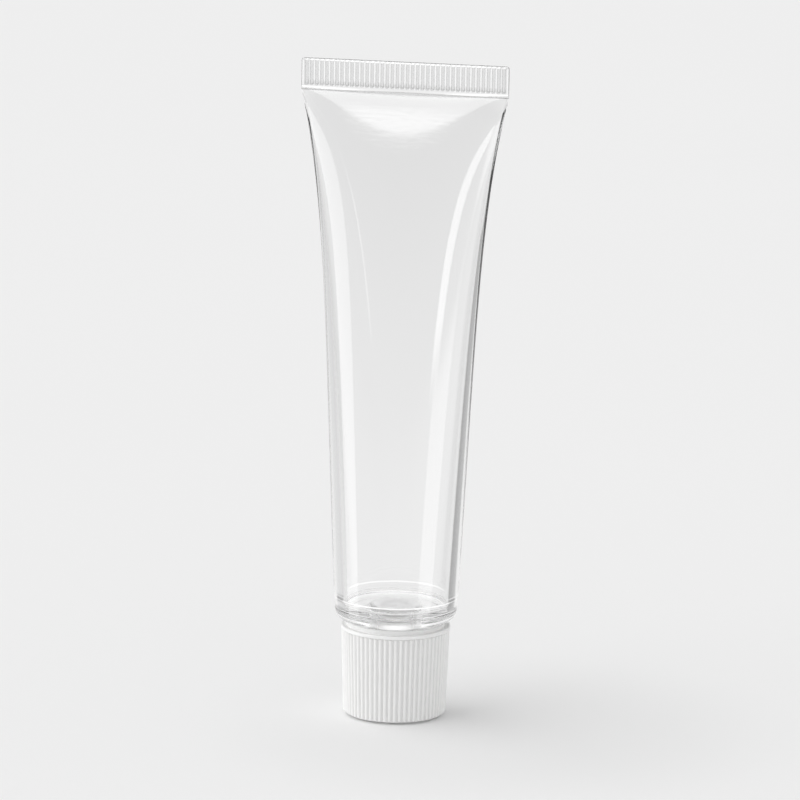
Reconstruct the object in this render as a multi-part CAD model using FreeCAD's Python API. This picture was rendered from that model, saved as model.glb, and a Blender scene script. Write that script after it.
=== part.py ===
import FreeCAD, Part
import math
import os

# A clear squeeze tube that stands on its screw cap. Millimetres, +Z up, origin at
# the centre of the cap's flat base, with the crimped seal's width along X.

# Cap shell: the ribbed outside of the cap
cap_height = 18.6
cap_base_radius = 10.45
cap_rim_radius = 11.1
cap_wall = 1.05
cap_floor = 1.2
cap_base_chamfer = 0.35
rim_band = 0.75
rim_chamfer = 0.25
rib_count = 64
rib_depth = 0.32
rib_crest_share = 0.34
rib_base_margin = 0.5

# Cap insert: the threaded inner cap, with a flange that stands proud of the shell's rim
flange_proud = 0.95
flange_depth = 2.4
insert_wall = 1.3
insert_panel = 1.2
press_fit_gap = 0.02

# Sealing disc
liner_thickness = 0.9
liner_gap = 0.15

# Neck and its thread
neck_radius = 5.2
neck_length = 10.0
neck_tip_chamfer = 0.4
orifice_radius = 3.5
thread_pitch = 3.0
thread_depth = 0.8
thread_crest = 0.8
thread_flank = 0.35
thread_start = 1.6
thread_turns = 1.5
thread_gap = 0.25
thread_bite = 0.15
closed_gap = 0.1

# Tube head: shoulder disc, neck and the spigot that holds the sleeve
head_inset = 0.15
head_thickness = 3.25
head_bevel = 1.5
orifice_edge = 0.4
sleeve_lap = 1.5
floor_slope = 0.4
lip_wall = 0.25
weld_gap = 0.02

# Sleeve: round at the foot, flat at the seal
sleeve_radius = 12.5
sleeve_length = 105.0
foot_step = 0.8
foot_wall = 1.95
seal_slit = 0.1
wall_taper = 1.5
seal_stretch = 1.07
side_taper = 0.57
side_flare = 5.5
depth_start = 3.0
depth_close = 0.55
round_section = 0.5
crease = 0.35
crease_start = 4.0
band_count = 20
band_gather = 2.0
arc_steps = 12

# Crimped seal
seal_height = 6.2
seal_thickness = 1.1
seal_corner = 0.5
tooth_count = 40
tooth_margin = 0.6
tooth_height = 5.3
tooth_top_margin = 0.3
tooth_depth = 0.24
tooth_mouth = 0.74
tooth_floor = 0.5
tooth_run_out = 0.35

# Planes and radii that follow from the sizes above
shoulder_plane = cap_height + flange_proud + closed_gap
floor_plane = shoulder_plane + head_thickness
sleeve_foot = floor_plane - foot_step
seal_foot = sleeve_foot + sleeve_length
seal_top = seal_foot + seal_height
seal_width = math.pi * sleeve_radius * seal_stretch
seal_wall = (seal_thickness - seal_slit) / 2
neck_tip = shoulder_plane - neck_length
thread_radius = neck_radius + thread_depth
insert_bore = thread_radius + thread_gap
flange_radius = cap_rim_radius - cap_wall
liner_plane = neck_tip - closed_gap - liner_thickness
spigot_radius = sleeve_radius - foot_wall - weld_gap


def point(x, y, z):
    return FreeCAD.Vector(x, y, z)


def revolve(corners):
    """Turn a closed outline of (radius, height) corners once round the Z axis."""
    points = [point(radius, 0, height) for radius, height in corners]
    face = Part.Face(Part.makePolygon(points + points[:1]))
    return face.revolve(point(0, 0, 0), point(0, 0, 1), 360)


# Thread


def thread_ridge(start_height, turns, root_radius, crest_radius, root_width, crest_width):
    """A right-hand helical ridge of trapezoid section."""
    height = thread_pitch * turns
    helix = Part.makeHelix(thread_pitch, height, root_radius)
    corners = [
        point(root_radius, 0, -root_width / 2),
        point(crest_radius, 0, -crest_width / 2),
        point(crest_radius, 0, crest_width / 2),
        point(root_radius, 0, root_width / 2),
    ]
    profile = Part.makePolygon(corners + corners[:1])
    ridge = Part.Wire(helix.Edges).makePipeShell([profile], True, True)
    ridge.translate(point(0, 0, start_height))
    return ridge


def neck_thread():
    root_width = thread_crest + 2 * thread_flank
    start = neck_tip + thread_start
    root = neck_radius - thread_bite
    return thread_ridge(start, thread_turns, root, thread_radius, root_width, thread_crest)


def insert_thread():
    """The ridge that runs midway between the neck's turns."""
    middle_width = thread_pitch - (thread_crest + thread_flank) - 2 * thread_gap
    crest_width = middle_width - thread_flank
    root_width = middle_width + thread_flank
    start = neck_tip + thread_start + thread_pitch / 2
    turns = thread_turns - 0.25
    root = insert_bore + thread_bite
    return thread_ridge(start, turns, root, neck_radius + thread_gap, root_width, crest_width)


# Cap


def shell_radius(height):
    """Outside radius of the tapered shell at a height above the base."""
    share = height / cap_height
    return cap_base_radius + (cap_rim_radius - cap_base_radius) * share


def rib_outline(height):
    """Closed outline with one flat-topped rib in every pitch."""
    crest = shell_radius(height) - rib_depth / 4
    root = crest - rib_depth
    pitch = 2 * math.pi / rib_count
    half_crest = rib_crest_share * pitch / 2
    half_root = pitch / 2 - half_crest
    corners = []
    for index in range(rib_count):
        middle = index * pitch
        for angle, radius in (
            (middle - half_root, root),
            (middle - half_crest, crest),
            (middle + half_crest, crest),
            (middle + half_root, root),
        ):
            corners.append(point(radius * math.cos(angle), radius * math.sin(angle), height))
    return Part.makePolygon(corners + corners[:1])


def make_cap_shell():
    band_plane = cap_height - rim_band
    ribs = Part.makeLoft([rib_outline(rib_base_margin), rib_outline(band_plane)], True, True)
    foot_radius = shell_radius(rib_base_margin) - rib_depth
    foot = revolve([
        (0, 0),
        (foot_radius - cap_base_chamfer, 0),
        (foot_radius, cap_base_chamfer),
        (foot_radius, rib_base_margin),
        (0, rib_base_margin),
    ])
    band = revolve([
        (0, band_plane),
        (shell_radius(band_plane), band_plane),
        (shell_radius(cap_height - rim_chamfer), cap_height - rim_chamfer),
        (cap_rim_radius - rim_chamfer, cap_height),
        (0, cap_height),
    ])
    ledge = cap_height - flange_depth
    bore = cap_base_radius - rib_depth - cap_wall
    hollow = revolve([
        (0, cap_floor),
        (bore, cap_floor),
        (bore, ledge),
        (flange_radius + press_fit_gap, ledge),
        (flange_radius + press_fit_gap, cap_height + 1),
        (0, cap_height + 1),
    ])
    return foot.fuse([ribs, band]).removeSplitter().cut(hollow)


def make_cap_insert():
    ledge = cap_height - flange_depth
    skirt_radius = insert_bore + insert_wall
    top = cap_height + flange_proud
    body = revolve([
        (0, liner_plane),
        (0, liner_plane - insert_panel),
        (insert_bore, liner_plane - insert_panel),
        (insert_bore, cap_floor),
        (skirt_radius, cap_floor),
        (skirt_radius, ledge),
        (flange_radius, ledge),
        (flange_radius, top - rim_chamfer),
        (flange_radius - rim_chamfer, top),
        (insert_bore, top),
        (insert_bore, liner_plane),
    ])
    return body.fuse(insert_thread())


def make_cap_liner():
    return Part.makeCylinder(insert_bore - liner_gap, liner_thickness, point(0, 0, liner_plane))


# Tube head


def make_tube_head():
    head_radius = sleeve_radius - head_inset
    lip_radius = spigot_radius - lip_wall
    flat_radius = lip_radius - floor_slope
    body = revolve([
        (head_radius - head_bevel, shoulder_plane),
        (neck_radius, shoulder_plane),
        (neck_radius, neck_tip + neck_tip_chamfer),
        (neck_radius - neck_tip_chamfer, neck_tip),
        (orifice_radius, neck_tip),
        (orifice_radius, floor_plane - orifice_edge),
        (orifice_radius + orifice_edge, floor_plane),
        (flat_radius, floor_plane),
        (lip_radius, floor_plane + floor_slope),
        (lip_radius, sleeve_foot + sleeve_lap),
        (spigot_radius, sleeve_foot + sleeve_lap),
        (spigot_radius, sleeve_foot),
        (head_radius, sleeve_foot),
        (head_radius, shoulder_plane + head_bevel),
    ])
    return body.fuse(neck_thread())


# Sleeve


def half_width(share):
    """Half the sleeve's width; share runs from 0 at the foot to 1 at the seal."""
    growth = side_taper * share + (1 - side_taper) * share ** side_flare
    return sleeve_radius + (seal_width / 2 - sleeve_radius) * growth


def half_depth(share):
    """Half the sleeve's depth, full for most of the length and pinched at the seal."""
    fullness = (1 - share ** depth_start) ** depth_close
    return seal_thickness / 2 + (sleeve_radius - seal_thickness / 2) * fullness


def wall(share):
    """The wall is thick at the foot and thins to half the seal's thickness."""
    return seal_wall + (foot_wall - seal_wall) * (1 - share ** wall_taper)


def half_section(width, depth, power, height, side):
    """One face of the sleeve at a height: an ellipse at power 0.5, a lens near 1."""
    points = []
    for step in range(arc_steps + 1):
        angle = math.pi * step / arc_steps
        rise = max(math.sin(angle), 0.0) ** (2 * power)
        points.append(point(width * math.cos(angle), side * depth * rise, height))
    if side < 0:
        points.reverse()
    curve = Part.BSplineCurve()
    curve.interpolate(points)
    return curve.toShape()


def section(share, inset, height):
    power = round_section + crease * share ** crease_start
    width = half_width(share) - inset
    depth = half_depth(share) - inset
    front = half_section(width, depth, power, height, 1)
    back = half_section(width, depth, power, height, -1)
    return Part.Wire([front, back])


def sleeve_skin(inner):
    """The solid inside the sleeve's outer surface, or inside its inner surface."""
    wires = []
    for index in range(band_count + 1):
        share = 1 - (1 - index / band_count) ** band_gather
        inset = wall(share) if inner else 0.0
        wires.append(section(share, inset, sleeve_foot + share * sleeve_length))
    return Part.makeLoft(wires, True, True)


def make_crimp():
    """The flat seal, with upright grooves pressed into both faces."""
    corner = point(-seal_width / 2, -seal_thickness / 2, seal_foot)
    slab = Part.makeBox(seal_width, seal_thickness, seal_height, corner)
    top_ends = [
        edge for edge in slab.Edges
        if edge.BoundBox.ZMin > seal_top - seal_corner and edge.BoundBox.XLength < seal_corner
    ]
    slab = slab.makeFillet(seal_corner, top_ends)
    pitch = (seal_width - 2 * tooth_margin) / tooth_count
    grooves = []
    for side in (-1, 1):
        for index in range(tooth_count):
            middle = -seal_width / 2 + tooth_margin + (index + 0.5) * pitch
            grooves.append(tooth_groove(middle, side))
    return slab.cut(grooves)


def tooth_groove(middle, side):
    """A groove of trapezoid section, closed just below the seal's top edge."""
    face = side * seal_thickness / 2
    floor = face - side * tooth_depth
    foot = seal_top - tooth_height
    outline = [
        point(middle - tooth_mouth / 2, face, foot),
        point(middle - tooth_floor / 2, floor, foot + tooth_run_out),
        point(middle + tooth_floor / 2, floor, foot + tooth_run_out),
        point(middle + tooth_mouth / 2, face, foot),
    ]
    top = [point(corner.x, corner.y, seal_top - tooth_top_margin) for corner in outline]
    ends = [Part.makePolygon(loop + loop[:1]) for loop in (outline, top)]
    return Part.makeLoft(ends, True, True)


def make_tube_sleeve():
    body = sleeve_skin(False).cut(sleeve_skin(True))
    return body.fuse(make_crimp())


makers = {
    "tube_sleeve": make_tube_sleeve,
    "tube_head": make_tube_head,
    "cap_shell": make_cap_shell,
    "cap_insert": make_cap_insert,
    "cap_liner": make_cap_liner,
}

os.makedirs("parts", exist_ok=True)
for node, maker in makers.items():
    maker().exportStep("parts/" + node + ".step")
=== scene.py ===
import math

import bmesh
import bpy
from mathutils import Matrix, Vector


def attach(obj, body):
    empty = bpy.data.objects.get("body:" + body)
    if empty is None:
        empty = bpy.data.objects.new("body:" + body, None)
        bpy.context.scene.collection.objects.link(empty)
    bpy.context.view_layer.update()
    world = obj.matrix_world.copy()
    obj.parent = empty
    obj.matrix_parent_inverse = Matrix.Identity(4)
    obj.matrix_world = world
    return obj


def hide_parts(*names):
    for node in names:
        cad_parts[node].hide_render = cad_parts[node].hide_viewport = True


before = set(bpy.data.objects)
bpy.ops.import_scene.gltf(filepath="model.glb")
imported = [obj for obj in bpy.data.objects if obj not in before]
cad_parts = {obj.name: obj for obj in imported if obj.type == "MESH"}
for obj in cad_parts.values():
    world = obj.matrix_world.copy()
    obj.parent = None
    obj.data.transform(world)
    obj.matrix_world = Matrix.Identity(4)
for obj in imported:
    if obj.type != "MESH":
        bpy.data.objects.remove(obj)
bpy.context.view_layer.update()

scene = bpy.context.scene

# A clear squeeze tube that stands on its white screw cap. Lengths are written in
# millimetres and handed on in metres. Heights are measured from the table.

MM = 0.001
TINY = 1e-6

# Sleeve: its width and its depth change with the share of its height, each by its own powers
SLEEVE_RADIUS = 12.485
SLEEVE_FOOT = 22.1
SLEEVE_LENGTH = 105.0
FOOT_LIFT = 0.03
FOOT_WALL = 1.95
SEAL_WALL = 0.5
WALL_TAPER = 1.5
SIDE_TAPER = 0.57
SIDE_FLARE = 5.5
DEPTH_START = 3.0
DEPTH_CLOSE = 0.55
ROUND_SECTION = 0.5
CREASE = 0.35
CREASE_START = 4.0
SQUARE_UP = 0.5
SQUARE_SHARE = 0.93

# Rows of the sleeve's mesh inside and outside, crowded towards the seal by a power
INNER_ROWS = 44
OUTER_ROWS = 56
ROW_CROWDING = 2.2

# Crimped seal
SEAL_FOOT = SLEEVE_FOOT + SLEEVE_LENGTH
SEAL_HEIGHT = 6.2
SEAL_THICKNESS = 1.1
SEAL_WIDTH = 42.0188
SEAL_CORNER = 0.5
JAW_FOOT = SEAL_FOOT + 0.3
TOOTH_COUNT = 40
TOOTH_MARGIN = 0.6
TOOTH_PITCH = (SEAL_WIDTH - 2 * TOOTH_MARGIN) / TOOTH_COUNT
TOOTH_FOOT = SEAL_FOOT + 0.9
TOOTH_TOP = SEAL_FOOT + SEAL_HEIGHT - 0.3
TOOTH_MOUTH = 0.62
TOOTH_WALL = 0.05
TOOTH_DEPTH = 0.12
TOOTH_RING = 0.34

# Tube head and neck
HEAD_RADIUS = 12.35
SHOULDER_PLANE = 19.65
SHOULDER_ROUNDING = 2.3
FLOOR_PLANE = 22.9
SPIGOT_RADIUS = 10.53
LIP_BORE = 10.28
LIP_TOP = 23.6
ORIFICE_RADIUS = 3.5
NECK_RADIUS = 5.2
NECK_TIP = 9.65

# Screw thread: the cap's ridge is the wider one, and runs between the turns of the neck's
THREAD_PITCH = 3.0
THREAD_START = NECK_TIP + 1.6
THREAD_DEPTH = 0.8
THREAD_FLANK = 0.35
THREAD_RUN_IN = 0.07
NECK_CREST = 0.8
NECK_TURNS = 1.5
CAP_CREST = 1.0
CAP_TURNS = 1.25

# Cap shell and its grip ribs
CAP_HEIGHT = 18.6
CAP_FLOOR = 1.2
CAP_BASE_RADIUS = 10.45
CAP_RIM_RADIUS = 11.1
RIM_BORE = 10.07
SHELL_BORE = 9.08
LEDGE = 16.2
FOOT_RECESS = 2.2
FOOT_RECESS_HEIGHT = 0.4
RIB_COUNT = 64
RIB_DEPTH = 0.4
RIB_FOOT = 0.5
RIB_TOP = 17.85

# Cap insert and sealing disc
INSERT_FOOT = 1.22
INSERT_RADIUS = 7.55
INSERT_BORE = 6.25
INSERT_PANEL = 1.2
FLANGE_RADIUS = 10.05
FLANGE_TOP = 19.55
LINER_FOOT = 8.65
LINER_TOP = 9.55
LINER_RADIUS = 6.1
LINER_DENT = 0.06

# Camera: how far it stands round to the right and above level, and how far it leans, in degrees
CAMERA_SIDE = 10.73
CAMERA_RISE = 11.96
CAMERA_LEAN = 1.01
CAMERA_DISTANCE = 1.188
CAMERA_LENS = 266.3
CAMERA_TARGET = (0.0001, 0.0, 0.0648)

# Studio. A softbox has its sides round to the right, its heights above level and the softness
# of its borders both ways, in degrees, then how far it leans and how strong it is.
PALE_WALL = 0.846
AMBIENT = 0.7
OVERHEAD = ((-200, 200), (27, 120), (1, 3), 0.0, 3.0)
LEFT_BOX = ((-101, -74), (-60, 40), (1.5, 8), 0.0, 2.3)
RIGHT_BOX = ((35, 45), (-9, 30), (1, 2), 0.0, 4.2)
LOW_RIGHT_BOX = ((40, 68), (-60, -10), (2, 1.5), 0.0, 1.9)
THIN_LEFT_BOX = ((-56, -54), (-5, 4), (1, 2), -1.9, 2.2)

# Dark flags at both sides: their sides in degrees, and how much of their dark is gone low down
FLAG_DARK = 0.88
FLAGS = (((126, 158), 0.4), ((-158, -126), 0.85))


# Node helpers


def wire(tree, value, socket):
    """Join another node's output to a socket, or write a plain value on it."""
    if isinstance(value, bpy.types.NodeSocket):
        tree.links.new(value, socket)
    elif value is not None:
        socket.default_value = value


def node(tree, kind, inputs=None, **settings):
    """Add a node, with its settings and its inputs by name or number."""
    made = tree.nodes.new(kind)
    for name, value in settings.items():
        setattr(made, name, value)
    for name, value in (inputs or {}).items():
        wire(tree, value, made.inputs[name])
    return made


def calc(tree, operation, *values):
    """One step of arithmetic."""
    made = tree.nodes.new("ShaderNodeMath")
    made.operation = operation
    for index, value in enumerate(values):
        wire(tree, value, made.inputs[index])
    return made.outputs[0]


def smooth_step(tree, value, low, high):
    """0 below low, 1 above high, and a smooth rise between."""
    inputs = {0: value, 1: low, 2: high}
    return node(tree, "ShaderNodeMapRange", inputs, interpolation_type="SMOOTHSTEP").outputs[0]


def vector_calc(tree, operation, inputs, output=0):
    """One step of arithmetic on vectors."""
    return node(tree, "ShaderNodeVectorMath", inputs, operation=operation).outputs[output]


def blend(tree, mask, first, second):
    """The first colour where the mask is 0 and the second where it is 1."""
    return node(tree, "ShaderNodeMix", {0: mask, 6: first, 7: second}, data_type="RGBA").outputs[2]


def groove_distance(tree, sideways, height, end_height):
    """Distance from the middle line of an upright groove, which ends at end_height."""
    below = calc(tree, "MAXIMUM", calc(tree, "SUBTRACT", end_height, height), 0.0)
    square = calc(tree, "ADD", calc(tree, "POWER", sideways, 2.0), calc(tree, "POWER", below, 2.0))
    return calc(tree, "SQRT", square)


def form_tree(name, sizes):
    """An empty Geometry Nodes tree with a mesh input and named number inputs."""
    tree = bpy.data.node_groups.new(name, "GeometryNodeTree")
    tree.interface.new_socket("Mesh", in_out="INPUT", socket_type="NodeSocketGeometry")
    for size in sizes:
        tree.interface.new_socket(size, in_out="INPUT", socket_type="NodeSocketFloat")
    tree.interface.new_socket("Material", in_out="INPUT", socket_type="NodeSocketMaterial")
    tree.interface.new_socket("Mesh", in_out="OUTPUT", socket_type="NodeSocketGeometry")
    return tree, tree.nodes.new("NodeGroupInput").outputs


def finish_tree(tree, geometry, material):
    """Every tree ends in real geometry with its material."""
    real = node(tree, "GeometryNodeRealizeInstances", {0: geometry}).outputs[0]
    painted = node(tree, "GeometryNodeSetMaterial", {"Geometry": real, "Material": material})
    node(tree, "NodeGroupOutput", {0: painted.outputs[0]})


def apply_tree(piece, tree, values):
    """Run a tree on a piece with the given inputs, and keep the result as its plain mesh."""
    modifier = piece.modifiers.new(tree.name, "NODES")
    modifier.node_group = tree
    for item in tree.interface.items_tree:
        if item.in_out == "INPUT" and item.name in values:
            modifier[item.identifier] = values[item.name]
    graph = bpy.context.evaluated_depsgraph_get()
    shaped = bpy.data.meshes.new_from_object(piece.evaluated_get(graph))
    piece.modifiers.remove(modifier)
    blank = piece.data
    piece.data = shaped
    bpy.data.meshes.remove(blank)
    shaped.name = piece.name


# Mesh helpers


def new_piece(name, points, faces):
    """A mesh object from points in millimetres."""
    mesh = bpy.data.meshes.new(name)
    mesh.from_pydata([tuple(value * MM for value in point) for point in points], [], faces)
    mesh.update()
    piece = bpy.data.objects.new(name, mesh)
    scene.collection.objects.link(piece)
    return piece


def soften(piece, angle):
    """Smooth shading that breaks at edges sharper than the angle."""
    mesh = piece.data
    mesh.shade_smooth()
    mesh.set_sharp_from_angle(angle=math.radians(angle))


def arc_of(here, before, after, rounding, steps):
    """Points of the arc that rounds a corner, from the side of before to the side of after."""
    half = before.angle(after) / 2
    reach = rounding / math.tan(half)
    centre = here + (before + after).normalized() * (rounding / math.sin(half))
    start = here + before * reach - centre
    sweep = start.angle_signed(here + after * reach - centre)
    turns = [Matrix.Rotation(-sweep * step / steps, 2) for step in range(steps + 1)]
    return [tuple(centre + turn @ start) for turn in turns]


def rounded(corners, steps=6, hold=0.12, least_run=0.03):
    """A closed outline of (radius, height, rounding) corners with each rounding as an arc.

    A point is set in on each straight run beside an arc, so that the flat stays flat in
    smooth shading, unless the run is shorter than least_run.
    """
    count = len(corners)
    places = [Vector(corner[:2]) for corner in corners]
    ways, reaches = [], []
    for index, here in enumerate(places):
        before = (places[index - 1] - here).normalized()
        after = (places[(index + 1) % count] - here).normalized()
        ways.append((before, after))
        rounding = corners[index][2]
        reaches.append(rounding / math.tan(before.angle(after) / 2) if rounding > 0 else 0.0)
    outline = []
    for index, here in enumerate(places):
        rounding, reach = corners[index][2], reaches[index]
        if rounding <= 0:
            outline.append(tuple(here))
            continue
        before, after = ways[index]
        following = (index + 1) % count
        room_before = (places[index - 1] - here).length - reach - reaches[index - 1]
        room_after = (places[following] - here).length - reach - reaches[following]
        if room_before > least_run:
            outline.append(tuple(here + before * (reach + min(hold, room_before / 3))))
        outline += arc_of(here, before, after, rounding, steps)
        if room_after > least_run:
            outline.append(tuple(here + after * (reach + min(hold, room_after / 3))))
    return outline


def divided(outline, radius, low, high, spacing):
    """Add even stops to the upright wall that stands at a radius between two heights."""
    near, level = 0.05, 0.01
    result = []
    for index, start in enumerate(outline):
        result.append(start)
        end = outline[(index + 1) % len(outline)]
        bottom, top = sorted((start[1], end[1]))
        upright = abs(start[0] - end[0]) < 10 * near and top - bottom > spacing
        on_wall = abs(min(start[0], end[0]) - radius) <= near
        if upright and on_wall and bottom >= low - level and top <= high + level:
            stops = math.ceil((top - bottom) / spacing)
            for step in range(1, stops):
                share = step / stops
                result.append(tuple(a + (b - a) * share for a, b in zip(start, end)))
    return result


def turned(name, outline, segments):
    """Turn an outline of (radius, height) points, listed anticlockwise, round the Z axis."""
    points, rings = [], []
    for radius, height in outline:
        if radius < TINY:
            rings.append([len(points)] * segments)
            points.append((0.0, 0.0, height))
            continue
        rings.append(list(range(len(points), len(points) + segments)))
        for step in range(segments):
            angle = 2 * math.pi * step / segments
            points.append((radius * math.cos(angle), radius * math.sin(angle), height))
    pairs = list(zip(rings, rings[1:]))
    if outline[0][0] > TINY or outline[-1][0] > TINY:
        pairs.append((rings[-1], rings[0]))
    faces = []
    for lower, upper in pairs:
        if lower[0] == lower[1] and upper[0] == upper[1]:
            continue
        for step in range(segments):
            after = (step + 1) % segments
            corners = [lower[step], lower[after], upper[after], upper[step]]
            faces.append([c for i, c in enumerate(corners) if c not in corners[:i]])
    return new_piece(name, points, faces)


def outward(piece):
    """Make every face of a closed shell point outwards."""
    shell = bmesh.new()
    shell.from_mesh(piece.data)
    bmesh.ops.recalc_face_normals(shell, faces=shell.faces[:])
    if shell.calc_volume(signed=True) < 0:
        bmesh.ops.reverse_faces(shell, faces=shell.faces[:])
    shell.to_mesh(piece.data)
    shell.free()


# Finishes


def noise(tree, place, scale, detail):
    """Soft noise from 0 to 1."""
    inputs = {"Vector": place, "Scale": scale, "Detail": detail}
    return node(tree, "ShaderNodeTexNoise", inputs).outputs[0]


def grey(value):
    """An even grey as a colour."""
    return (value, value, value, 1)


def off_white(value):
    """A white with a breath of warmth."""
    return (value, value, value - 0.005, 1)


def surface_grain():
    """Fine moulded texture: a varying roughness and a low height, shared by the plastics."""
    group = bpy.data.node_groups.new("moulded grain", "ShaderNodeTree")
    for way, names in (
        ("INPUT", ("Roughness", "Spread", "Cloud size", "Grain size", "Wave")),
        ("OUTPUT", ("Roughness", "Height", "Cloud")),
    ):
        for name in names:
            group.interface.new_socket(name, in_out=way, socket_type="NodeSocketFloat")
    given = group.nodes.new("NodeGroupInput").outputs
    place = node(group, "ShaderNodeTexCoord").outputs["Object"]
    cloud = noise(group, place, given["Cloud size"], 3.0)
    grain = noise(group, place, given["Grain size"], 2.0)
    centred = calc(group, "SUBTRACT", cloud, 0.5)
    varied = calc(group, "MULTIPLY_ADD", centred, given["Spread"], given["Roughness"])
    height = calc(group, "ADD", calc(group, "MULTIPLY", cloud, given["Wave"]), grain)
    node(group, "NodeGroupOutput", {"Roughness": varied, "Height": height, "Cloud": cloud})
    return group


def new_material(name):
    """A material with an empty tree."""
    material = bpy.data.materials.new(name)
    material.use_nodes = True
    tree = material.node_tree
    tree.nodes.clear()
    return material, tree


def use_grain(tree, group, strength, depth, **values):
    """Place the shared grain in a material, and give its outputs and the normal that it makes."""
    grain = node(tree, "ShaderNodeGroup", node_tree=group)
    for name, value in values.items():
        grain.inputs[name.replace("_", " ")].default_value = value
    made = grain.outputs
    relief = {"Height": made["Height"], "Strength": strength, "Distance": depth}
    return made, node(tree, "ShaderNodeBump", relief).outputs[0]


def object_place(tree):
    """The place on the piece, and its parts across, in depth and in height."""
    place = node(tree, "ShaderNodeTexCoord").outputs["Object"]
    return place, node(tree, "ShaderNodeSeparateXYZ", {0: place}).outputs


def axis_distance(tree, place):
    """Distance from the tube's axis."""
    flat = vector_calc(tree, "MULTIPLY", {0: place, 1: (1, 1, 0)})
    return vector_calc(tree, "LENGTH", {0: flat}, "Value")


def clear_plastic(name, group, tint, painted_edge_shade, roughness):
    """The start of a clear plastic, with painted shade where it is seen edge on, for the dark lines that
    reflections draw along its edges.
    """
    material, tree = new_material(name)
    grain, normal = use_grain(
        tree, group, 0.02, 0.0001,
        Roughness=roughness, Spread=roughness * 0.8, Cloud_size=160.0, Grain_size=900.0, Wave=2.0,
    )
    # Painted shade: the colour darkens towards the edge colour where the surface is seen edge on.
    facing = node(tree, "ShaderNodeLayerWeight", {"Blend": 0.5}).outputs["Facing"]
    colour = blend(tree, smooth_step(tree, facing, 0.7, 1.0), tint, painted_edge_shade)
    return material, tree, colour, grain["Roughness"], normal


def finish_clear(tree, colour, roughness, normal, shadow):
    """The clear plastic itself; to lamps it is a plain tint, so that they shine through it."""
    plastic = node(tree, "ShaderNodeBsdfPrincipled", {
        "Base Color": colour, "Roughness": roughness, "IOR": 1.5, "Transmission Weight": 1.0,
        "Normal": normal,
    })
    passing = node(tree, "ShaderNodeBsdfTransparent", {"Color": shadow})
    lamps = node(tree, "ShaderNodeLightPath").outputs["Is Shadow Ray"]
    mixed = node(tree, "ShaderNodeMixShader", {0: lamps, 1: plastic.outputs[0], 2: passing.outputs[0]})
    node(tree, "ShaderNodeOutputMaterial", {"Surface": mixed.outputs[0]})


def head_plastic(group):
    """Clear plastic with the satin of the mould's core on its underside and in the neck."""
    material, tree, colour, gloss, normal = clear_plastic(
        "clear head plastic", group, grey(0.985), grey(0.9), 0.015,
    )
    place, parts = object_place(tree)
    satin_top = SHOULDER_PLANE + 0.02
    under = smooth_step(tree, parts[2], (satin_top + 0.1) * MM, satin_top * MM)
    bored = smooth_step(tree, axis_distance(tree, place), (NECK_RADIUS + 0.2) * MM, NECK_RADIUS * MM)
    gloss = calc(tree, "MULTIPLY_ADD", calc(tree, "MAXIMUM", under, bored), 0.3, gloss)
    finish_clear(tree, colour, gloss, normal, grey(0.97))
    return material


def height_mask(tree, height, low, high, base=JAW_FOOT):
    """A rise, or a fall where low is over high, between two heights above a base."""
    return smooth_step(tree, height, (base + low) * MM, (base + high) * MM)


def tooth_floors(tree, across, depth, height):
    """The part of the seal that has teeth, and the floors of its grooves."""
    toothed = height_mask(tree, height, 0.35, 0.45)
    edge_gap = calc(tree, "SUBTRACT", SEAL_WIDTH / 2 * MM, calc(tree, "ABSOLUTE", across))
    toothed = calc(tree, "MULTIPLY", toothed, smooth_step(tree, edge_gap, 0.5 * MM, 0.6 * MM))
    sunk = smooth_step(tree, calc(tree, "ABSOLUTE", depth), 0.51 * MM, 0.47 * MM)
    return toothed, calc(tree, "MULTIPLY", sunk, toothed)


def painted_groove_end_shade(tree, across, height, toothed):
    """A ring of painted shade round the grooves' lower ends."""
    offset = calc(tree, "ADD", across, (SEAL_WIDTH / 2 - TOOTH_MARGIN) * MM)
    along = calc(tree, "FRACT", calc(tree, "DIVIDE", offset, TOOTH_PITCH * MM))
    sideways = calc(tree, "MULTIPLY_ADD", along, TOOTH_PITCH * MM, -TOOTH_PITCH / 2 * MM)
    end_height = TOOTH_FOOT + TOOTH_MOUTH / 2
    distance = groove_distance(tree, sideways, height, end_height * MM)
    off_ring = calc(tree, "ABSOLUTE", calc(tree, "SUBTRACT", distance, TOOTH_RING * MM))
    ring = smooth_step(tree, off_ring, 0.15 * MM, 0.06 * MM)
    low_end = height_mask(tree, height, 0.9, 0.1, base=end_height)
    return calc(tree, "MULTIPLY", calc(tree, "MULTIPLY", ring, low_end), toothed)


def painted_bend_shade(tree, height):
    """Painted shade along the line where the sleeve bends into the seal."""
    away = calc(tree, "ABSOLUTE", calc(tree, "SUBTRACT", height, (JAW_FOOT - 0.3) * MM))
    return smooth_step(tree, away, 0.28 * MM, 0.1 * MM)


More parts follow.
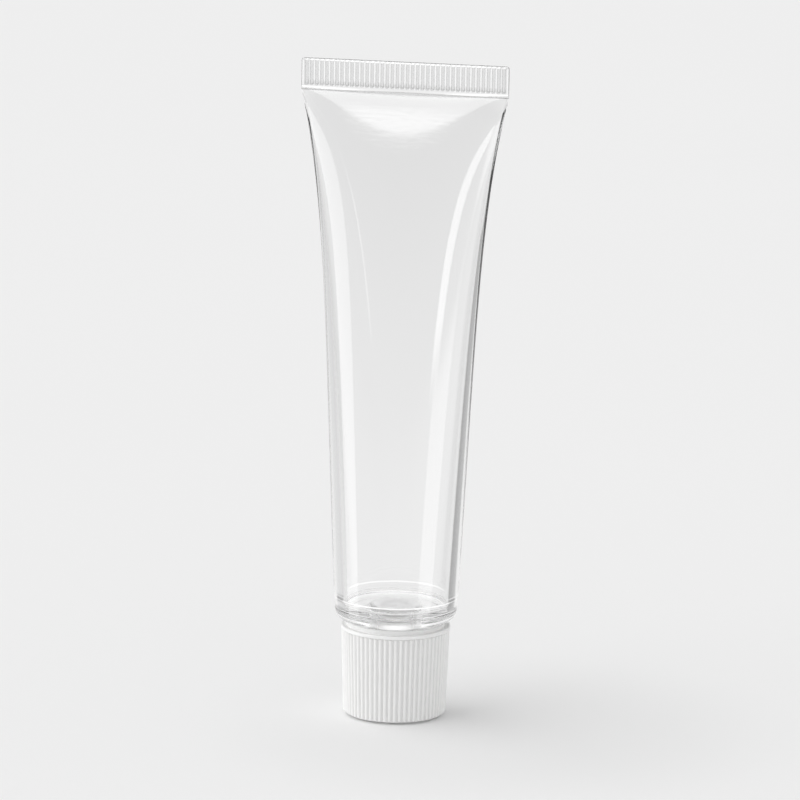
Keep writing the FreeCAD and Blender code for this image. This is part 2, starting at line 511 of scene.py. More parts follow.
def sleeve_plastic(group):
    """Clear plastic with the satin of the hot jaws on the seal, and painted shade in its low places and
    along its bend.
    """
    material, tree, colour, gloss, normal = clear_plastic(
        "clear sleeve plastic", group, grey(0.99), grey(0.92), 0.012,
    )
    across, depth, height = object_place(tree)[1]
    near_foot = height_mask(tree, height, 25, 8, base=SLEEVE_FOOT)
    shadow = blend(tree, near_foot, grey(0.915), grey(0.97))
    toothed, floors = tooth_floors(tree, across, depth, height)
    gloss = calc(tree, "MULTIPLY_ADD", height_mask(tree, height, 0.0, 0.4), 0.1, gloss)
    gloss = calc(tree, "MULTIPLY_ADD", floors, 0.06, gloss)
    # Painted shade on a narrow band where the jaws' pressing starts.
    ledge = calc(
        tree, "MULTIPLY", height_mask(tree, height, -0.1, 0.0), height_mask(tree, height, 0.6, 0.5),
    )
    # Painted shade: each mask below darkens the clear plastic's colour, on the ledge band, the groove
    # floors, round the grooves' lower ends and along the bend.
    for mask, tint in (
        (ledge, 0.87),
        (floors, 0.8),
        (painted_groove_end_shade(tree, across, height, toothed), 0.66),
        (painted_bend_shade(tree, height), 0.62),
    ):
        colour = blend(tree, mask, colour, grey(tint))
    finish_clear(tree, colour, gloss, normal, shadow)
    return material


def painted_rib_shade(tree):
    """Where painted shade goes: the foot of the cap's grip ribs."""
    place, parts = object_place(tree)
    slope = (CAP_RIM_RADIUS - CAP_BASE_RADIUS) / CAP_HEIGHT
    crest = calc(tree, "MULTIPLY_ADD", parts[2], slope, CAP_BASE_RADIUS * MM)
    sunk = calc(tree, "SUBTRACT", crest, axis_distance(tree, place))
    deep = smooth_step(tree, sunk, RIB_DEPTH * 0.4 * MM, RIB_DEPTH * 1.2 * MM)
    outer = smooth_step(tree, sunk, RIB_DEPTH * 1.6 * MM, RIB_DEPTH * 1.5 * MM)
    return calc(tree, "MULTIPLY", deep, outer)


def satin_plastic(name, group, pale, shaded, roughness, valley_shade=None):
    """White moulded plastic with a soft sheen and the slightest clouding.

    With a shade colour given, it has painted shade at the foot of the grip ribs.
    """
    material, tree = new_material(name)
    grain, normal = use_grain(
        tree, group, 0.05, 0.00003,
        Roughness=roughness, Spread=0.12, Cloud_size=350.0, Grain_size=5200.0, Wave=0.2,
    )
    colour = blend(tree, grain["Cloud"], pale, shaded)
    if valley_shade is not None:
        # Painted shade in the rib valleys.
        colour = blend(tree, painted_rib_shade(tree), colour, valley_shade)
    plastic = node(tree, "ShaderNodeBsdfPrincipled", {
        "Base Color": colour, "Roughness": grain["Roughness"], "IOR": 1.48, "Normal": normal,
    })
    node(tree, "ShaderNodeOutputMaterial", {"Surface": plastic.outputs[0]})
    return material


def foam(name):
    """Soft white sealing foam with small closed cells."""
    material, tree = new_material(name)
    place = node(tree, "ShaderNodeTexCoord").outputs["Object"]
    cells = node(tree, "ShaderNodeTexVoronoi", {"Vector": place, "Scale": 3500.0}).outputs["Distance"]
    colour = blend(tree, cells, (0.86, 0.86, 0.85, 1), (0.76, 0.76, 0.75, 1))
    bump = node(tree, "ShaderNodeBump", {"Height": cells, "Strength": 0.5, "Distance": 0.0001})
    padding = node(tree, "ShaderNodeBsdfPrincipled", {
        "Base Color": colour, "Roughness": 0.75, "Normal": bump.outputs[0],
    })
    node(tree, "ShaderNodeOutputMaterial", {"Surface": padding.outputs[0]})
    return material


# Threads and ribs


def round_axis(tree):
    """A point's parts, its distance from the Z axis and its share of a turn round it."""
    place = node(tree, "GeometryNodeInputPosition").outputs[0]
    parts = node(tree, "ShaderNodeSeparateXYZ", {0: place}).outputs
    square = calc(tree, "ADD", calc(tree, "POWER", parts[0], 2.0), calc(tree, "POWER", parts[1], 2.0))
    angle = calc(tree, "DIVIDE", calc(tree, "ARCTAN2", parts[1], parts[0]), 2 * math.pi)
    return parts, calc(tree, "SQRT", square), angle


def raise_wall(tree, given, parts, height):
    """Move a turned wall outwards by a height, and end the tree."""
    flat = node(tree, "ShaderNodeCombineXYZ", {0: parts[0], 1: parts[1]}).outputs[0]
    out = vector_calc(tree, "NORMALIZE", {0: flat})
    shift = vector_calc(tree, "SCALE", {0: out, "Scale": height})
    moved = node(tree, "GeometryNodeSetPosition", {"Geometry": given["Mesh"], "Offset": shift})
    finish_tree(tree, moved.outputs[0], given["Material"])
    return tree


def thread_tree():
    """A helical ridge raised on an upright round wall; a negative depth raises it inwards."""
    tree, given = form_tree("screw thread", (
        "Wall radius", "Pitch", "Start height", "Turns", "Crest width", "Flank width", "Depth", "Run in",
    ))
    wall_tolerance = 2e-6
    parts, radius, angle = round_axis(tree)
    off_wall = calc(tree, "ABSOLUTE", calc(tree, "SUBTRACT", radius, given["Wall radius"]))
    on_wall = calc(tree, "LESS_THAN", off_wall, wall_tolerance)
    above = calc(tree, "SUBTRACT", parts[2], given["Start height"])
    above = calc(tree, "DIVIDE", above, given["Pitch"])
    whole = calc(tree, "ROUND", calc(tree, "SUBTRACT", above, angle))
    turn = calc(tree, "ADD", whole, angle)
    away = calc(tree, "ABSOLUTE", calc(tree, "SUBTRACT", above, turn))
    away = calc(tree, "MULTIPLY", away, given["Pitch"])
    half = calc(tree, "DIVIDE", given["Crest width"], 2.0)
    outside = calc(tree, "ADD", half, given["Flank width"])
    ridge = smooth_step(tree, away, outside, half)
    lead = smooth_step(tree, turn, 0.0, given["Run in"])
    left = calc(tree, "SUBTRACT", given["Turns"], turn)
    tail = smooth_step(tree, left, 0.0, given["Run in"])
    height = calc(tree, "MULTIPLY", ridge, calc(tree, "MULTIPLY", lead, tail))
    height = calc(tree, "MULTIPLY", calc(tree, "MULTIPLY", height, on_wall), given["Depth"])
    return raise_wall(tree, given, parts, height)


def rib_tree():
    """Upright grip ribs raised on a turned wall, running out at both ends."""
    tree, given = form_tree("grip ribs", (
        "Count", "Depth", "Crest share", "Flank share", "Foot height", "Top height", "Run out",
        "Inner radius",
    ))
    parts, radius, angle = round_axis(tree)
    outside = calc(tree, "GREATER_THAN", radius, given["Inner radius"])
    phase = calc(tree, "MULTIPLY", angle, given["Count"])
    away = calc(tree, "ABSOLUTE", calc(tree, "SUBTRACT", phase, calc(tree, "ROUND", phase)))
    half = calc(tree, "DIVIDE", given["Crest share"], 2.0)
    foot = calc(tree, "ADD", half, given["Flank share"])
    ridge = smooth_step(tree, away, foot, half)
    low_end = calc(tree, "ADD", given["Foot height"], given["Run out"])
    lower = smooth_step(tree, parts[2], given["Foot height"], low_end)
    high_end = calc(tree, "SUBTRACT", given["Top height"], given["Run out"])
    upper = smooth_step(tree, parts[2], given["Top height"], high_end)
    height = calc(tree, "MULTIPLY", ridge, calc(tree, "MULTIPLY", lower, upper))
    height = calc(tree, "MULTIPLY", calc(tree, "MULTIPLY", height, outside), given["Depth"])
    return raise_wall(tree, given, parts, height)


def cut_thread(piece, threads, material, radius, start, turns, crest, depth):
    """Raise a screw thread on a piece's wall, with sizes in millimetres."""
    apply_tree(piece, threads, {
        "Wall radius": radius * MM, "Pitch": THREAD_PITCH * MM, "Start height": start * MM,
        "Turns": turns, "Crest width": crest * MM, "Flank width": THREAD_FLANK * MM,
        "Depth": depth * MM, "Run in": THREAD_RUN_IN, "Material": material,
    })


# Cap


def shell_radius(height):
    """Outside radius of the tapered cap at a height."""
    return CAP_BASE_RADIUS + (CAP_RIM_RADIUS - CAP_BASE_RADIUS) * height / CAP_HEIGHT


def with_rib_stops(outline):
    """Add the stops on the shell's side that let the ribs run out at both ends."""
    side = next(i for i, p in enumerate(outline) if abs(p[1] - RIB_TOP) < TINY)
    low, high = outline[side - 1], outline[side]
    stops = []
    foot_run_out = (0.67, 0.73, 0.79, 0.86)
    rib_length = (1.2, 4.0, 8.0, 12.0, 17.0)
    top_run_out = (17.45, 17.53, 17.61, 17.69, 17.77)
    for height in foot_run_out + rib_length + top_run_out:
        share = (height - low[1]) / (high[1] - low[1])
        stops.append((low[0] + (high[0] - low[0]) * share, height))
    return outline[:side] + stops + outline[side:]


def make_cap_shell(material, ribs):
    """The ribbed outside of the cap, with a low recess round its foot."""
    root_gap = RIB_DEPTH * 1.25
    foot_radius = shell_radius(RIB_FOOT) - root_gap
    outline = rounded([
        (0.0, 0.0, 0.0),
        (foot_radius - FOOT_RECESS, 0.0, 0.05),
        (foot_radius - FOOT_RECESS, FOOT_RECESS_HEIGHT, 0.0),
        (foot_radius, FOOT_RECESS_HEIGHT + 0.05, 0.05),
        (shell_radius(RIB_TOP) - root_gap, RIB_TOP, 0.0),
        (shell_radius(RIB_TOP), RIB_TOP + 0.05, 0.04),
        (CAP_RIM_RADIUS, CAP_HEIGHT, 0.3),
        (RIM_BORE, CAP_HEIGHT, 0.08),
        (RIM_BORE, LEDGE, 0.0),
        (SHELL_BORE, LEDGE, 0.0),
        (SHELL_BORE, CAP_FLOOR, 0.4),
        (0.0, CAP_FLOOR, 0.0),
    ])
    piece = turned("ribbed_cap_shell", with_rib_stops(outline), RIB_COUNT * 10)
    apply_tree(piece, ribs, {
        "Count": float(RIB_COUNT), "Depth": RIB_DEPTH * MM, "Crest share": 0.3, "Flank share": 0.2,
        "Foot height": (RIB_FOOT + 0.1) * MM, "Top height": RIB_TOP * MM, "Run out": 0.2 * MM,
        "Inner radius": 9.9 * MM, "Material": material,
    })
    return piece


def make_cap_insert(material, threads):
    """The threaded inside of the cap, with the flange that stands proud of the shell's rim."""
    ledge = LEDGE + 0.02
    outline = rounded([
        (0.0, LINER_FOOT - INSERT_PANEL, 0.0),
        (INSERT_BORE, LINER_FOOT - INSERT_PANEL, 0.3),
        (INSERT_BORE, INSERT_FOOT, 0.0),
        (INSERT_RADIUS, INSERT_FOOT, 0.0),
        (INSERT_RADIUS, ledge, 0.2),
        (FLANGE_RADIUS, ledge, 0.15),
        (FLANGE_RADIUS, FLANGE_TOP, 0.3),
        (INSERT_BORE, FLANGE_TOP, 0.3),
        (INSERT_BORE, LINER_FOOT, 0.0),
        (0.0, LINER_FOOT, 0.0),
    ])
    outline = divided(outline, INSERT_BORE, LINER_FOOT, FLANGE_TOP, 0.14)
    piece = turned("threaded_cap_insert", outline, 192)
    start = THREAD_START + THREAD_PITCH / 2
    cut_thread(piece, threads, material, INSERT_BORE, start, CAP_TURNS, CAP_CREST, -THREAD_DEPTH)
    return piece


def make_sealing_disc(material):
    """The disc that closes the orifice, dented by the neck's rim."""
    outline = rounded([
        (0.0, LINER_FOOT, 0.0),
        (LINER_RADIUS, LINER_FOOT, 0.1),
        (LINER_RADIUS, LINER_TOP, 0.15),
        (NECK_RADIUS + 0.15, LINER_TOP, 0.0),
        (NECK_RADIUS, LINER_TOP - LINER_DENT, 0.0),
        (ORIFICE_RADIUS, LINER_TOP - LINER_DENT, 0.0),
        (ORIFICE_RADIUS - 0.15, LINER_TOP, 0.0),
        (0.0, LINER_TOP, 0.0),
    ])
    piece = turned("sealing_disc", outline, 128)
    piece.data.materials.append(material)
    return piece


# Tube head


def make_tube_head(material, threads):
    """The shoulder with its spigot and lip, and the threaded neck with its orifice."""
    outline = rounded([
        (HEAD_RADIUS, SHOULDER_PLANE, SHOULDER_ROUNDING),
        (HEAD_RADIUS, SLEEVE_FOOT, 0.12),
        (SPIGOT_RADIUS, SLEEVE_FOOT, 0.0),
        (SPIGOT_RADIUS, LIP_TOP, 0.08),
        (LIP_BORE, LIP_TOP, 0.08),
        (LIP_BORE, FLOOR_PLANE, 0.4),
        (ORIFICE_RADIUS, FLOOR_PLANE, 1.5),
        (ORIFICE_RADIUS, NECK_TIP, 0.15),
        (NECK_RADIUS, NECK_TIP, 0.4),
        (NECK_RADIUS, SHOULDER_PLANE, 0.9),
    ], steps=10)
    outline = divided(outline, NECK_RADIUS, NECK_TIP, SHOULDER_PLANE, 0.13)
    piece = turned("shoulder_and_neck", outline, 192)
    cut_thread(piece, threads, material, NECK_RADIUS, THREAD_START, NECK_TURNS, NECK_CREST, THREAD_DEPTH)
    return piece


# Sleeve


def seal_columns():
    """Places across the seal, from one edge to the other, with stops at every groove's walls."""
    half = SEAL_WIDTH / 2
    mouth, floor = TOOTH_MOUTH / 2, TOOTH_MOUTH / 2 - TOOTH_WALL
    stops = (-TOOTH_PITCH / 2, -mouth, -floor, -floor / 2, 0.0, floor / 2, floor, mouth)
    places = [-half + TOOTH_MARGIN * step / 4 for step in range(4)]
    for tooth in range(TOOTH_COUNT):
        middle = -half + TOOTH_MARGIN + (tooth + 0.5) * TOOTH_PITCH
        places += [middle + stop for stop in stops]
    places += [half - TOOTH_MARGIN + TOOTH_MARGIN * step / 4 for step in range(5)]
    return [place / half for place in places]


def foot_rows():
    """Rows of the cavity's lower edge, the foot ring, and the low relief of the weld outside."""
    cavity = ((1.0, 0.5), (1.0, 0.25), (1.0, 0.06))
    ring = ((0.97, 0.0), (0.9, 0.0), (0.3, 0.0), (0.17, 0.0), (0.12, 0.02), (0.09, 0.06), (0.075, 0.12))
    weld = ((0.07, 0.22), (0.07, 1.2), (0.07, 2.25), (0.066, 2.32), (0.052, 2.4), (0.03, 2.48))
    weld_top = ((0.012, 2.56), (0.003, 2.64), (0.0, 2.75))
    stops = cavity + ring + weld + weld_top
    return [(inset, height / SLEEVE_LENGTH, 0.0) for inset, height in stops]


def sleeve_rows():
    """Rows from the top of the cavity down inside, round the foot and up to the seal's top edge.

    Each row is (inset, share, rise): how far in through the wall, how far up the sleeve,
    and how far above the seal's foot in millimetres.
    """
    inner = [1 - (index / INNER_ROWS) ** ROW_CROWDING for index in range(INNER_ROWS + 1)]
    outer = [1 - (1 - index / OUTER_ROWS) ** ROW_CROWDING for index in range(1, OUTER_ROWS + 1)]
    rows = [(1.0, share, 0.0) for share in inner if share > 1.0 / SLEEVE_LENGTH]
    rows += foot_rows()
    rows += [(0.0, share, 0.0) for share in outer if share > 3.0 / SLEEVE_LENGTH]
    bend = (0.04, 0.1, 0.2, 0.35, 0.55, 0.75, 0.86)
    groove_ends = (0.9, 0.95, 1.0, 1.06, 1.12, 1.2, 1.3, 1.45)
    grooves = (2.6, 3.9, 5.1, 5.6)
    groove_tops = (5.78, 5.83, 5.88, 5.94, 6.0, 6.06)
    rows += [(0.0, 1.0, rise) for rise in bend + groove_ends + grooves + groove_tops]
    top_edge = ((0.05, 6.13), (0.14, 6.18), (0.26, SEAL_HEIGHT))
    return rows + [(inset, 1.0, rise) for inset, rise in top_edge]


def sleeve_tree():
    """The sleeve's form: round at the foot, wider and flatter as it rises to the seal."""
    tree, given = form_tree("sleeve form", (
        "Foot height", "Length", "Foot radius", "Seal width", "Seal thickness", "Seal height",
        "Seal corner", "Side taper", "Side flare", "Depth start", "Depth close", "Round section",
        "Crease", "Crease start", "Foot wall", "Seal wall", "Wall taper", "Square up",
    ))
    place = node(tree, "GeometryNodeInputPosition").outputs[0]
    across, side, share = node(tree, "ShaderNodeSeparateXYZ", {0: place}).outputs
    inset, rise = (
        node(tree, "GeometryNodeInputNamedAttribute", {0: name}, data_type="FLOAT").outputs[0]
        for name in ("inset", "rise")
    )
    half_seal = calc(tree, "DIVIDE", given["Seal thickness"], 2.0)
    spread = calc(tree, "SUBTRACT", calc(tree, "DIVIDE", given["Seal width"], 2.0), given["Foot radius"])
    flare = calc(tree, "POWER", share, given["Side flare"])
    growth = calc(tree, "MULTIPLY", calc(tree, "SUBTRACT", 1.0, given["Side taper"]), flare)
    growth = calc(tree, "MULTIPLY_ADD", given["Side taper"], share, growth)
    half_width = calc(tree, "MULTIPLY_ADD", spread, growth, given["Foot radius"])

    closing = calc(tree, "SUBTRACT", 1.0, calc(tree, "POWER", share, given["Depth start"]))
    fullness = calc(tree, "POWER", calc(tree, "MAXIMUM", closing, 0.0), given["Depth close"])
    depth_range = calc(tree, "SUBTRACT", given["Foot radius"], half_seal)
    half_depth = calc(tree, "MULTIPLY_ADD", depth_range, fullness, half_seal)

    thinning = calc(tree, "SUBTRACT", 1.0, calc(tree, "POWER", share, given["Wall taper"]))
    wall_range = calc(tree, "SUBTRACT", given["Foot wall"], given["Seal wall"])
    wall = calc(tree, "MULTIPLY_ADD", wall_range, thinning, given["Seal wall"])
    inward = calc(tree, "MULTIPLY", wall, inset)

    corner_start = calc(tree, "SUBTRACT", given["Seal height"], given["Seal corner"])
    over = calc(tree, "MAXIMUM", calc(tree, "SUBTRACT", rise, corner_start), 0.0)
    over = calc(tree, "MINIMUM", over, given["Seal corner"])
    square = calc(tree, "POWER", given["Seal corner"], 2.0)
    legs = calc(tree, "SUBTRACT", square, calc(tree, "POWER", over, 2.0))
    legs = calc(tree, "SQRT", calc(tree, "MAXIMUM", legs, 0.0))
    corner = calc(tree, "SUBTRACT", given["Seal corner"], legs)

    width = calc(tree, "SUBTRACT", calc(tree, "SUBTRACT", half_width, inward), corner)
    depth = calc(tree, "SUBTRACT", half_depth, inward)
    creased = calc(tree, "POWER", share, given["Crease start"])
    power = calc(tree, "MULTIPLY_ADD", given["Crease"], creased, given["Round section"])
    squared = smooth_step(tree, rise, 0.0, given["Square up"])
    power = calc(tree, "MULTIPLY", power, calc(tree, "MULTIPLY_ADD", squared, -SQUARE_SHARE, 1.0))
    inside = calc(tree, "SUBTRACT", 1.0, calc(tree, "POWER", calc(tree, "ABSOLUTE", across), 2.0))
    bulge = calc(tree, "POWER", calc(tree, "MAXIMUM", inside, 0.0), power)

    x = calc(tree, "MULTIPLY", width, across)
    y = calc(tree, "MULTIPLY", calc(tree, "MULTIPLY", depth, bulge), side)
    z = calc(tree, "MULTIPLY_ADD", given["Length"], share, given["Foot height"])
    z = calc(tree, "ADD", z, rise)
    target = node(tree, "ShaderNodeCombineXYZ", {0: x, 1: y, 2: z}).outputs[0]
    shaped = node(tree, "GeometryNodeSetPosition", {"Geometry": given["Mesh"], "Position": target})
    finish_tree(tree, shaped.outputs[0], given["Material"])
    return tree


def tooth_tree():
    """Upright grooves with round lower ends, pressed into both faces of the seal."""
    tree, given = form_tree("crimp teeth", (
        "Width", "Margin", "Pitch", "Count", "Foot height", "Top height", "Mouth", "Wall run", "Depth",
    ))
    place = node(tree, "GeometryNodeInputPosition").outputs[0]
    x, y, z = node(tree, "ShaderNodeSeparateXYZ", {0: place}).outputs
    start = calc(tree, "SUBTRACT", given["Margin"], calc(tree, "DIVIDE", given["Width"], 2.0))
    along = calc(tree, "DIVIDE", calc(tree, "SUBTRACT", x, start), given["Pitch"])
    after_first = calc(tree, "GREATER_THAN", along, 0.0)
    before_last = calc(tree, "LESS_THAN", along, given["Count"])
    within = calc(tree, "MULTIPLY", after_first, before_last)
    from_middle = calc(tree, "SUBTRACT", calc(tree, "FRACT", along), 0.5)
    sideways = calc(tree, "MULTIPLY", from_middle, given["Pitch"])
    half = calc(tree, "DIVIDE", given["Mouth"], 2.0)
    end_height = calc(tree, "ADD", given["Foot height"], half)
    reach = calc(tree, "SUBTRACT", half, groove_distance(tree, sideways, z, end_height))
    groove = smooth_step(tree, reach, 0.0, given["Wall run"])
    topped = calc(tree, "SUBTRACT", given["Top height"], z)
    topped = smooth_step(tree, topped, 0.0, given["Wall run"])
    groove = calc(tree, "MULTIPLY", calc(tree, "MULTIPLY", groove, topped), within)
    pressing = calc(tree, "MULTIPLY", given["Depth"], groove)
    inward = calc(tree, "MULTIPLY", calc(tree, "SIGN", y), pressing)
    shift = node(tree, "ShaderNodeCombineXYZ", {1: calc(tree, "MULTIPLY", inward, -1.0)}).outputs[0]
    pressed = node(tree, "GeometryNodeSetPosition", {"Geometry": given["Mesh"], "Offset": shift})
    finish_tree(tree, pressed.outputs[0], given["Material"])
    return tree


def loop_place(loop, seal, share):
    """How far across and to which side a loop's point stands, each from -1 to 1.

    The points are spread evenly round the foot, and move onto the seal's stops as they rise.
    """
    last = len(seal) - 1
    column = loop if loop <= last else 2 * last - loop
    side = 1.0 if 0 < loop < last else (-1.0 if loop > last else 0.0)
    rise = min(max((share - 0.75) / 0.25, 0.0), 1.0)
    near_seal = rise * rise * (3 - 2 * rise)
    even = -math.cos(math.pi * column / last)
    return even * (1 - near_seal) + seal[column] * near_seal, side


def sleeve_faces(row_count, last):
    """Faces between the rows, and the two ends closed from front to back."""
    around = 2 * last
    faces = []
    for base in range(0, (row_count - 1) * around, around):
        for loop in range(around):
            after = (loop + 1) % around
            faces.append((base + loop, base + after, base + around + after, base + around + loop))
    for base, step in ((0, 1), ((row_count - 1) * around, -1)):
        for column in range(last):
            loop = [
                base + column, base + column + 1,
                base + (around - column - 1) % around, base + (around - column) % around,
            ]
            loop = [c for i, c in enumerate(loop) if c not in loop[:i]]
            faces.append(loop[::step])
    return faces


def sleeve_shell():
    """One closed shell: the cavity, the foot ring, the outside and the crimped seal."""
    seal, rows = seal_columns(), sleeve_rows()
    last = len(seal) - 1
    points, insets, rises = [], [], []
    for inset, share, rise in rows:
        for loop in range(2 * last):
            across, side = loop_place(loop, seal, share)
            points.append((across / MM, side / MM, share / MM))
            insets.append(inset)
            rises.append(rise * MM)
    piece = new_piece("clear_sleeve", points, sleeve_faces(len(rows), last))
    for name, values in (("inset", insets), ("rise", rises)):
        piece.data.attributes.new(name, "FLOAT", "POINT").data.foreach_set("value", values)
    return piece


def make_sleeve(material, form, teeth):
    """The sleeve, formed from round to flat, and then crimped."""
    piece = sleeve_shell()
    apply_tree(piece, form, {
        "Foot height": (SLEEVE_FOOT + FOOT_LIFT) * MM, "Length": (SLEEVE_LENGTH - FOOT_LIFT) * MM,
        "Foot radius": SLEEVE_RADIUS * MM, "Seal width": SEAL_WIDTH * MM,
        "Seal thickness": SEAL_THICKNESS * MM, "Seal height": SEAL_HEIGHT * MM,
        "Seal corner": SEAL_CORNER * MM, "Side taper": SIDE_TAPER, "Side flare": SIDE_FLARE,
        "Depth start": DEPTH_START, "Depth close": DEPTH_CLOSE, "Round section": ROUND_SECTION,
        "Crease": CREASE, "Crease start": CREASE_START, "Foot wall": FOOT_WALL * MM,
        "Seal wall": SEAL_WALL * MM, "Wall taper": WALL_TAPER, "Square up": SQUARE_UP * MM,
        "Material": material,
    })
    apply_tree(piece, teeth, {
        "Width": SEAL_WIDTH * MM, "Margin": TOOTH_MARGIN * MM, "Pitch": TOOTH_PITCH * MM,
        "Count": float(TOOTH_COUNT), "Foot height": TOOTH_FOOT * MM, "Top height": TOOTH_TOP * MM,
        "Mouth": TOOTH_MOUTH * MM, "Wall run": TOOTH_WALL * MM, "Depth": TOOTH_DEPTH * MM,
        "Material": material,
    })
    for name in ("inset", "rise"):
        piece.data.attributes.remove(piece.data.attributes[name])
    return piece


# Studio


def look_from(place, target, roll=0.0):
    """A turn that points -Z from place to target, with a roll about the line of sight."""
    sight = (Vector(place) - Vector(target)).normalized()
    side = Vector((0, 0, 1)).cross(sight).normalized()
    turn = Matrix((side, sight.cross(side), sight)).transposed()
    return turn @ Matrix.Rotation(roll, 3, "Z")


def make_camera():
    """The photograph's camera: a long lens that looks a little down, and leans."""
    target, rise = Vector(CAMERA_TARGET), math.radians(CAMERA_RISE)
    place = target + CAMERA_DISTANCE * around_tube(0, math.cos(rise), math.sin(rise))
    lens = bpy.data.cameras.new("camera")
    lens.lens = CAMERA_LENS
    lens.sensor_width = 36.0
    lens.clip_start = 0.01
    camera = bpy.data.objects.new("camera", lens)
    scene.collection.objects.link(camera)
    turn = look_from(place, target, math.radians(CAMERA_LEAN))
    camera.matrix_world = Matrix.Translation(place) @ turn.to_4x4()
    scene.camera = camera


def around_tube(degrees_right, distance, height):
    """A place round the tube, measured to the right from the camera's side."""
    angle = math.radians(CAMERA_SIDE + degrees_right)
    return Vector((math.sin(angle) * distance, -math.cos(angle) * distance, height))


def make_floor():
    """A pale table top, a little darker beside the cap: a painted shadow."""
    material, tree = new_material("studio floor")
    place = node(tree, "ShaderNodeTexCoord").outputs["Object"]
    colour = blend(tree, noise(tree, place, 6.0, 2.0), grey(0.87), grey(0.88))
    # Painted shadow: a ring round this place, to the right of the cap and towards the camera, is darker.
    painted_shadow_centre, painted_shadow_reach, painted_shadow_core = (0.0219, -0.0081, 0.0), 0.068, 0.026
    away = vector_calc(tree, "DISTANCE", {0: place, 1: painted_shadow_centre}, "Value")
    near = smooth_step(tree, away, painted_shadow_reach, painted_shadow_core)
    paper = node(tree, "ShaderNodeBsdfDiffuse", {"Color": blend(tree, near, colour, grey(0.835))})
    node(tree, "ShaderNodeOutputMaterial", {"Surface": paper.outputs[0]})
    half = 6000
    corners = [(-half, -half, 0), (half, -half, 0), (half, half, 0), (-half, half, 0)]
    floor = new_piece("studio_floor", corners, [(0, 1, 2, 3)])
    floor.data.materials.append(material)
    floor.visible_glossy = False
    floor.visible_transmission = False
    # The cap stands on the floor at every turn, so the floor goes with the liner, which
    # slides with the cap but doesn't turn.
    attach(floor, "liner")


def angle_step(tree, angle, low, high):
    """smooth_step between two angles in degrees."""
    return smooth_step(tree, angle, math.radians(low), math.radians(high))


def window(tree, value, low, high, soft):
    """1 between two angles in degrees and 0 outside, with soft borders."""
    rise = angle_step(tree, value, low - soft, low + soft)
    fall = angle_step(tree, value, high + soft, high - soft)
    return calc(tree, "MULTIPLY", rise, fall)


def add_light(tree, light, mask, strength):
    """Light with more of it where the mask is 1."""
    return calc(tree, "MULTIPLY_ADD", mask, strength, light)


def change_light(tree, light, mask, share):
    """Light changed by a share of itself where the mask is 1."""
    return calc(tree, "MULTIPLY", light, calc(tree, "MULTIPLY_ADD", mask, share, 1.0))


def softbox(tree, light, round_angle, height_angle, box):
    """Add a soft rectangle of light, placed by angles to the right of the camera and above level."""
    sides, heights, softness, lean, strength = box
    leant = calc(tree, "MULTIPLY_ADD", height_angle, -lean, round_angle)
    across = window(tree, leant, sides[0], sides[1], softness[0])
    upright = window(tree, height_angle, heights[0], heights[1], softness[1])
    return add_light(tree, light, calc(tree, "MULTIPLY", across, upright), strength)


def sight_angles(tree):
    """The way of a ray: to the right from the camera's side, and above level."""
    sight = node(tree, "ShaderNodeTexCoord").outputs["Generated"]
    turned_sight = node(tree, "ShaderNodeVectorRotate", {
        "Vector": sight, "Angle": math.radians(-CAMERA_SIDE),
    }, rotation_type="Z_AXIS").outputs[0]
    x, y, z = node(tree, "ShaderNodeSeparateXYZ", {0: turned_sight}).outputs
    round_angle = calc(tree, "ARCTAN2", x, calc(tree, "MULTIPLY", y, -1.0))
    return round_angle, calc(tree, "ARCSINE", z)


def gloss_light(tree, round_angle, height_angle):
    """What gloss shows: a pale table below level, and the softboxes round it."""
    light = add_light(tree, 0.05, angle_step(tree, height_angle, 10, -2), 0.2)
    light = add_light(tree, light, angle_step(tree, height_angle, -8, -15), 0.75)
    for box in (OVERHEAD, LEFT_BOX, RIGHT_BOX, LOW_RIGHT_BOX, THIN_LEFT_BOX):
        light = softbox(tree, light, round_angle, height_angle, box)
    return light


def backdrop_light(tree, round_angle, height_angle):
    """What clear plastic shows: a pale backdrop, brighter low down and behind the seal."""
    beside = calc(tree, "ABSOLUTE", round_angle)
    light = add_light(tree, 0.86, angle_step(tree, height_angle, -8.5, -13.5), 0.16)
    light = add_light(tree, light, angle_step(tree, height_angle, -4, 8), 0.32)
    top = angle_step(tree, height_angle, -9.6, -9.3)
    top = calc(tree, "MULTIPLY", top, angle_step(tree, beside, 150, 165))
    light = add_light(tree, light, top, 0.35)
    panel = angle_step(tree, height_angle, -10.75, -10.5)
    panel = calc(tree, "MULTIPLY", panel, angle_step(tree, height_angle, -9.3, -9.6))
    panel = calc(tree, "MULTIPLY", panel, angle_step(tree, beside, 178.8, 179.4))
    light = add_light(tree, light, panel, 0.15)
    aside = angle_step(tree, beside, 172, 166)
    return change_light(tree, light, aside, -0.07)


def hang_flags(tree, light, round_angle, height_angle, reflections):
    """Darken the backdrop by the flags, which show only after a reflection inside the plastic."""
    bounced = calc(tree, "GREATER_THAN", reflections, 0.5)
    low = angle_step(tree, height_angle, -11.5, -13.5)
    for sides, fade in FLAGS:
        flag = window(tree, round_angle, sides[0], sides[1], 2.5)
        flag = calc(tree, "MULTIPLY", flag, window(tree, height_angle, -19, -6, 1.5))
        flag = calc(tree, "MULTIPLY", flag, bounced)
        depth = calc(tree, "MULTIPLY_ADD", low, fade * FLAG_DARK, -FLAG_DARK)
        light = change_light(tree, light, flag, depth)
    return light


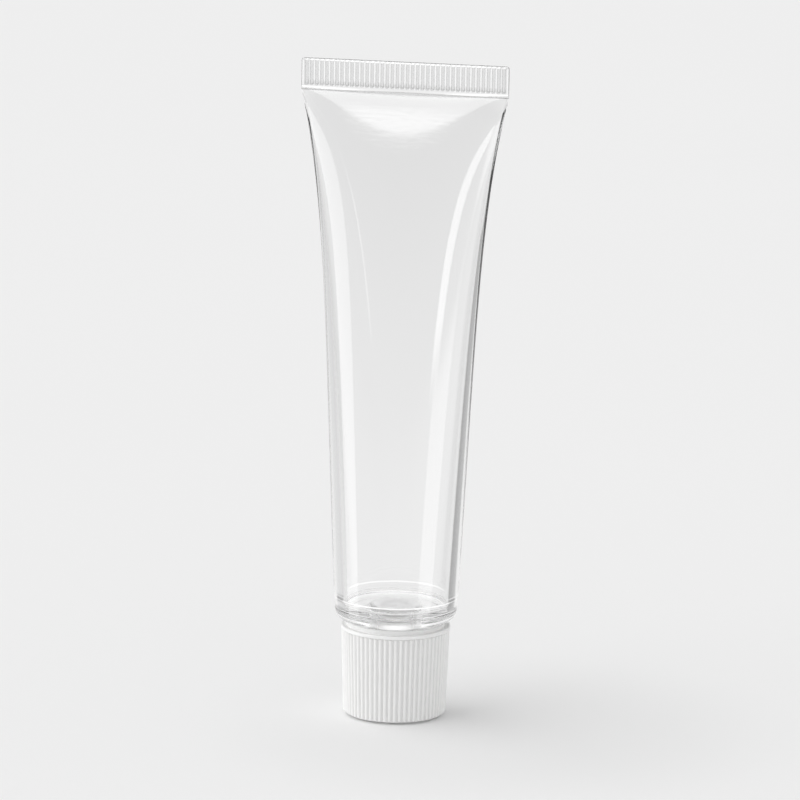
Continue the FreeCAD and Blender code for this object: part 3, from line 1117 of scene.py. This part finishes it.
def make_world():
    """Pale to the camera and through clear plastic; gloss shows the softboxes round the table."""
    world = bpy.data.worlds.new("studio")
    scene.world = world
    world.use_nodes = True
    tree = world.node_tree
    tree.nodes.clear()
    round_angle, height_angle = sight_angles(tree)
    path = node(tree, "ShaderNodeLightPath").outputs
    boxes = gloss_light(tree, round_angle, height_angle)
    backdrop = backdrop_light(tree, round_angle, height_angle)
    backdrop = hang_flags(tree, backdrop, round_angle, height_angle, path["Glossy Depth"])
    backdrop = calc(tree, "MULTIPLY", backdrop, PALE_WALL)
    shown = node(tree, "ShaderNodeBackground", {"Color": grey(1), "Strength": AMBIENT})
    for ray, colour, strength in (
        ("Is Glossy Ray", grey(1), boxes),
        ("Is Transmission Ray", grey(1), backdrop),
        ("Is Camera Ray", grey(PALE_WALL), 1.0),
    ):
        seen = node(tree, "ShaderNodeBackground", {"Color": colour, "Strength": strength})
        choice = {0: path[ray], 1: shown.outputs[0], 2: seen.outputs[0]}
        shown = node(tree, "ShaderNodeMixShader", choice)
    node(tree, "ShaderNodeOutputWorld", {"Surface": shown.outputs[0]})


def make_key():
    """A very soft key light from the left."""
    sun = bpy.data.lights.new("key", "SUN")
    sun.energy = 1.35
    sun.angle = math.radians(80)
    holder = bpy.data.objects.new("key", sun)
    scene.collection.objects.link(holder)
    holder.visible_glossy = False
    holder.visible_transmission = False
    place = around_tube(degrees_right=-92, distance=1.0, height=0.87)
    holder.matrix_world = Matrix.Translation(place) @ look_from(place, (0, 0, 0)).to_4x4()


# Making

make_camera()
make_floor()
make_world()
make_key()

grain_group = surface_grain()
threads = thread_tree()
sleeve = make_sleeve(sleeve_plastic(grain_group), sleeve_tree(), tooth_tree())
head = make_tube_head(head_plastic(grain_group), threads)
# The last colour is painted shade at the foot of the grip ribs.
shell_white = satin_plastic(
    "white shell plastic", grain_group, off_white(0.955), off_white(0.94), 0.42, off_white(0.84),
)
shell = make_cap_shell(shell_white, rib_tree())
insert_white = satin_plastic(
    "white insert plastic", grain_group, off_white(0.975), off_white(0.965), 0.38,
)
insert = make_cap_insert(insert_white, threads)
disc = make_sealing_disc(foam("sealing foam"))

for piece, angle in ((sleeve, 50), (head, 40), (shell, 40), (insert, 40), (disc, 40)):
    outward(piece)
    soften(piece, angle)

for piece, body, cad_node, slot in (
    (sleeve, "tube", "tube_sleeve", "clear_sleeve"),
    (head, "tube", "tube_head", "clear_head"),
    (shell, "cap", "cap_shell", "white_cap"),
    (insert, "cap", "cap_insert", "white_insert"),
    (disc, "liner", "cap_liner", "white_liner"),
):
    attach(piece, body)
    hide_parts(cad_node)

scene.view_settings.view_transform = "Standard"
scene.cycles.max_bounces = 48
scene.cycles.transmission_bounces = 40
scene.cycles.glossy_bounces = 36
scene.cycles.diffuse_bounces = 8
scene.cycles.transparent_max_bounces = 32
